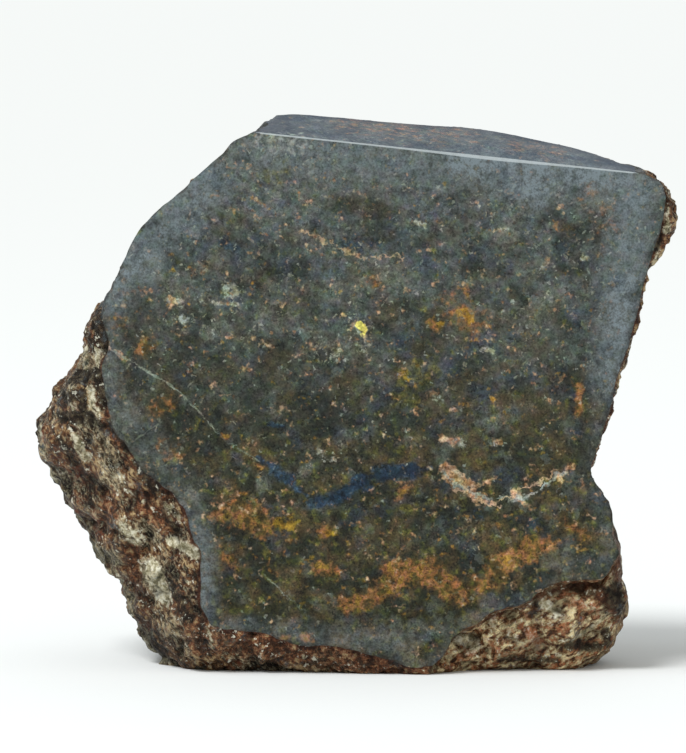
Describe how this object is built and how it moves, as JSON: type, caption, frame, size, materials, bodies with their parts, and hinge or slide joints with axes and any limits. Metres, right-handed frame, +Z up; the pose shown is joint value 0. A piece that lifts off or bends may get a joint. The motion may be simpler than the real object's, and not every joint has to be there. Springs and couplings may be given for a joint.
{
  "type": "lunar meteorite",
  "caption": "Dark lunar meteorite end cut with a polished face, a sawn top facet, brown weathered crust on its natural sides, a broken chip and a flat foot to stand on.",
  "frame": {"origin": "on the ground under the middle of the stone's box, at the level of its flat foot", "axes": "+Z up, +X to the right of the polished face, -Y the way the polished face looks"},
  "size_m": [0.0608, 0.0236, 0.0523],
  "materials": {
    "stone": "dark grey-green polished breccia with rust, cream and blue-grey markings; brown weathered crust on the natural skin"
  },
  "bodies": {
    "root": {"meteorite": "stone"}
  },
  "joints": []
}
